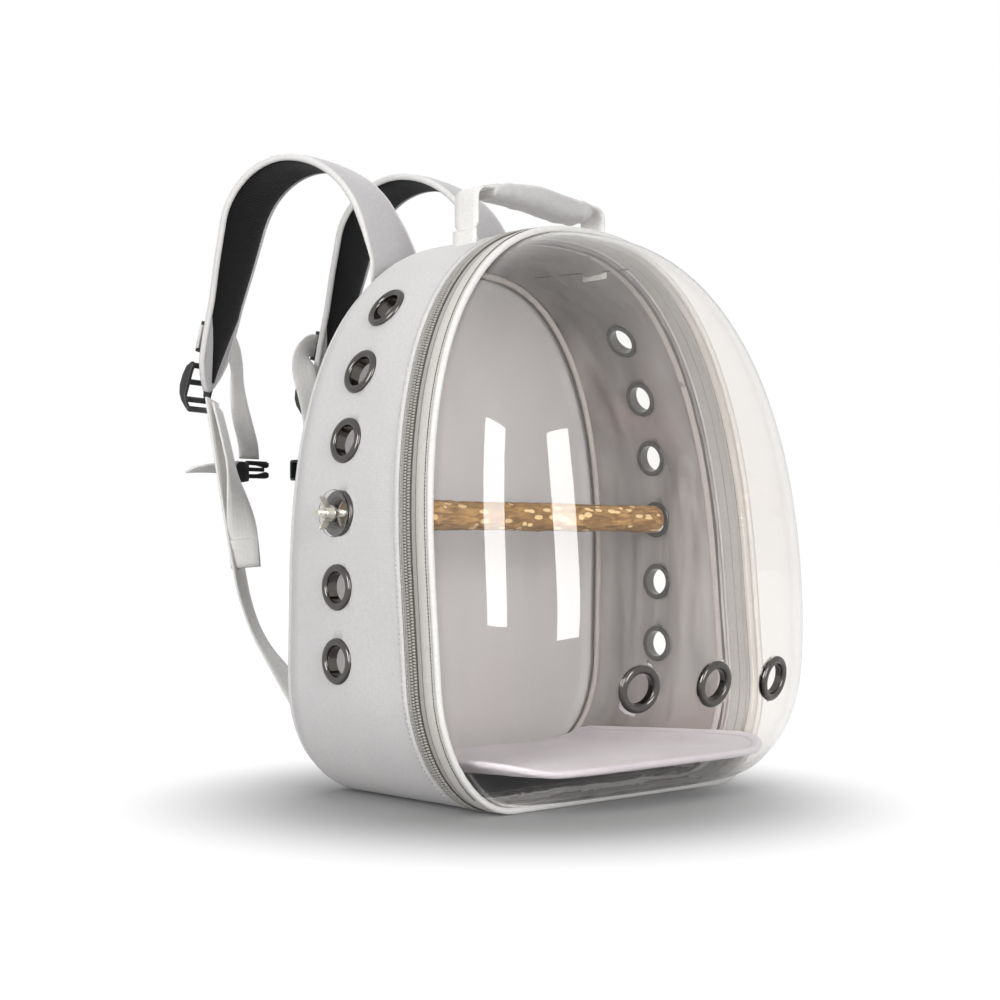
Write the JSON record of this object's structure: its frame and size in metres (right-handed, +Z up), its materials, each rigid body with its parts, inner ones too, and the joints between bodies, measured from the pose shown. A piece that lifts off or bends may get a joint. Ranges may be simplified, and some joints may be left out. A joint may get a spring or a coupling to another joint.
{
  "type": "bird travel carrier",
  "caption": "Arched fabric backpack carrier for a pet bird, with a clear domed front door, a clamped perch, eyelet vents, a carry handle and padded shoulder straps.",
  "frame": {"origin": "centre of the flat base, in the plane of the side eyelets", "axes": "+Z up, -Y out of the domed front, +X to the right in a front view"},
  "size_m": [0.3796, 0.4798, 0.5017],
  "materials": {
    "shell_fabric": "woven polyester, light grey, foam backed",
    "lining_fabric": "smooth nylon lining, warm grey",
    "back_fabric": "smooth nylon lining, light grey",
    "panel_fabric": "woven polyester over a stiff sheet",
    "piping": "smooth piping cord cover, white",
    "mesh_fabric": "black air mesh over foam",
    "board": "stiffening board",
    "mat_fabric": "quilted mat with a bound edge",
    "zip_tape": "woven zipper tape",
    "zip_coil": "nylon zipper coil",
    "eyelet_metal": "gunmetal plated steel",
    "clear_sheet": "clear polycarbonate sheet",
    "slider_metal": "nickel plated zinc",
    "webbing": "woven webbing, light grey",
    "grip_fabric": "padded fabric sleeve",
    "branch_wood": "natural branch with its bark",
    "stud_steel": "zinc plated threaded stud",
    "washer_plastic": "translucent plastic",
    "nut_metal": "zinc plated",
    "strap_fabric": "woven polyester over foam",
    "buckle_plastic": "moulded acetal, black"
  },
  "bodies": {
    "carrier": {"gusset_shell": "shell_fabric", "gusset_lining": "lining_fabric", "back_panel": "panel_fabric", "back_lining": "back_fabric", "back_piping": "piping", "inner_binding": "lining_fabric", "upper_back_pad": "mesh_fabric", "lower_back_pad": "mesh_fabric", "base_board": "board", "floor_mat": "mat_fabric", "body_zipper_tape": "zip_tape", "body_zipper_teeth": "zip_coil", "left_eyelets": "eyelet_metal", "left_eyelet_washers": "eyelet_metal", "right_eyelets": "eyelet_metal", "right_eyelet_washers": "eyelet_metal", "strap_roots": "strap_fabric", "strap_anchor_tabs": "strap_fabric", "handle_tabs": "webbing"},
    "front_door": {"door_band": "shell_fabric", "door_piping": "piping", "window_dome": "clear_sheet", "door_zipper_tape": "zip_tape", "door_zipper_teeth": "zip_coil", "door_hinge_strip": "shell_fabric", "window_eyelets": "eyelet_metal", "window_eyelet_washers": "eyelet_metal"},
    "upper_slider": {"upper_slider": "slider_metal"},
    "upper_pull_tab": {"upper_pull_tab": "slider_metal"},
    "lower_slider": {"lower_slider": "slider_metal"},
    "lower_pull_tab": {"lower_pull_tab": "slider_metal"},
    "handle": {"handle_webbing": "webbing", "handle_grip": "grip_fabric"},
    "perch": {"perch_branch": "branch_wood", "perch_studs": "stud_steel"},
    "left_clamp_washer": {"left_clamp_washer": "washer_plastic"},
    "left_wing_nut": {"left_wing_nut": "nut_metal"},
    "right_clamp_washer": {"right_clamp_washer": "washer_plastic"},
    "right_wing_nut": {"right_wing_nut": "nut_metal"},
    "left_strap": {"left_strap_pad": "strap_fabric", "left_strap_mesh": "mesh_fabric", "left_strap_binding": "piping", "left_ladder_lock": "buckle_plastic", "left_strap_webbing": "webbing", "left_strap_tail": "webbing"},
    "left_chest_strap": {"left_chest_keeper": "buckle_plastic", "left_chest_webbing": "webbing", "left_chest_tail": "webbing", "left_chest_buckle": "buckle_plastic"},
    "right_strap": {"right_strap_pad": "strap_fabric", "right_strap_mesh": "mesh_fabric", "right_strap_binding": "piping", "right_ladder_lock": "buckle_plastic", "right_strap_webbing": "webbing", "right_strap_tail": "webbing"},
    "right_chest_strap": {"right_chest_keeper": "buckle_plastic", "right_chest_webbing": "webbing", "right_chest_tail": "webbing", "right_chest_buckle": "buckle_plastic"}
  },
  "joints": [
    {"name": "door_hinge", "type": "hinge", "parent": "carrier", "child": "front_door", "pos_m": [0, -0.09271, 0], "axis": [1, 0, 0], "range_deg": [0, 100]},
    {"name": "upper_slider_slide", "type": "slide", "parent": "carrier", "child": "upper_slider", "axis": [0, 0.0847, 0.9964], "range_m": [0, 0.045]},
    {"name": "upper_pull_swing", "type": "hinge", "parent": "upper_slider", "child": "upper_pull_tab", "pos_m": [0.1774, -0.08016, 0.1475], "axis": [0, -0.9964, 0.0847], "range_deg": [0, 120]},
    {"name": "lower_slider_slide", "type": "slide", "parent": "carrier", "child": "lower_slider", "axis": [0, -0.0847, -0.9964], "range_m": [0, 0.045]},
    {"name": "lower_pull_swing", "type": "hinge", "parent": "lower_slider", "child": "lower_pull_tab", "pos_m": [0.1774, -0.08144, 0.1325], "axis": [0, -0.9964, 0.0847], "range_deg": [0, 40]},
    {"name": "handle_swing", "type": "hinge", "parent": "carrier", "child": "handle", "pos_m": [0, -0.02, 0.414], "axis": [1, 0, 0], "range_deg": [-40, 40]},
    {"name": "perch_turn", "type": "hinge", "parent": "carrier", "child": "perch", "pos_m": [0, 0, 0.207], "axis": [1, 0, 0], "range_deg": [-180, 180]},
    {"name": "left_washer_slide", "type": "slide", "parent": "carrier", "child": "left_clamp_washer", "axis": [-1, 0, 0], "range_m": [0, 0.004]},
    {"name": "left_nut_spin", "type": "hinge", "parent": "left_clamp_washer", "child": "left_wing_nut", "pos_m": [-0.18, 0, 0.207], "axis": [1, 0, 0], "range_deg": [0, 1440]},
    {"name": "right_washer_slide", "type": "slide", "parent": "carrier", "child": "right_clamp_washer", "axis": [1, 0, 0], "range_m": [0, 0.004]},
    {"name": "right_nut_spin", "type": "hinge", "parent": "right_clamp_washer", "child": "right_wing_nut", "pos_m": [0.18, 0, 0.207], "axis": [-1, 0, 0], "range_deg": [0, 1440]},
    {"name": "left_strap_swing", "type": "hinge", "parent": "carrier", "child": "left_strap", "pos_m": [-0.06, 0.072, 0.398], "axis": [0.1893, -0.0108, 0.9819], "range_deg": [-4, 35], "deforming": ["strap_anchor_tabs"]},
    {"name": "left_chest_slide", "type": "slide", "parent": "left_strap", "child": "left_chest_strap", "axis": [0.0806, -0.2636, 0.9613], "range_m": [0, 0.015]},
    {"name": "right_strap_swing", "type": "hinge", "parent": "carrier", "child": "right_strap", "pos_m": [0.06, 0.072, 0.398], "axis": [-0.1893, -0.0108, 0.9819], "range_deg": [-50, 2], "deforming": ["strap_anchor_tabs"]},
    {"name": "right_chest_slide", "type": "slide", "parent": "right_strap", "child": "right_chest_strap", "axis": [0.0806, -0.2636, 0.9613], "range_m": [0, 0.015]}
  ],
  "couplings": [
    {"joint": "left_washer_slide", "follows": "left_nut_spin", "m_per_rad": 0.00015915},
    {"joint": "right_washer_slide", "follows": "right_nut_spin", "m_per_rad": 0.00015915}
  ]
}
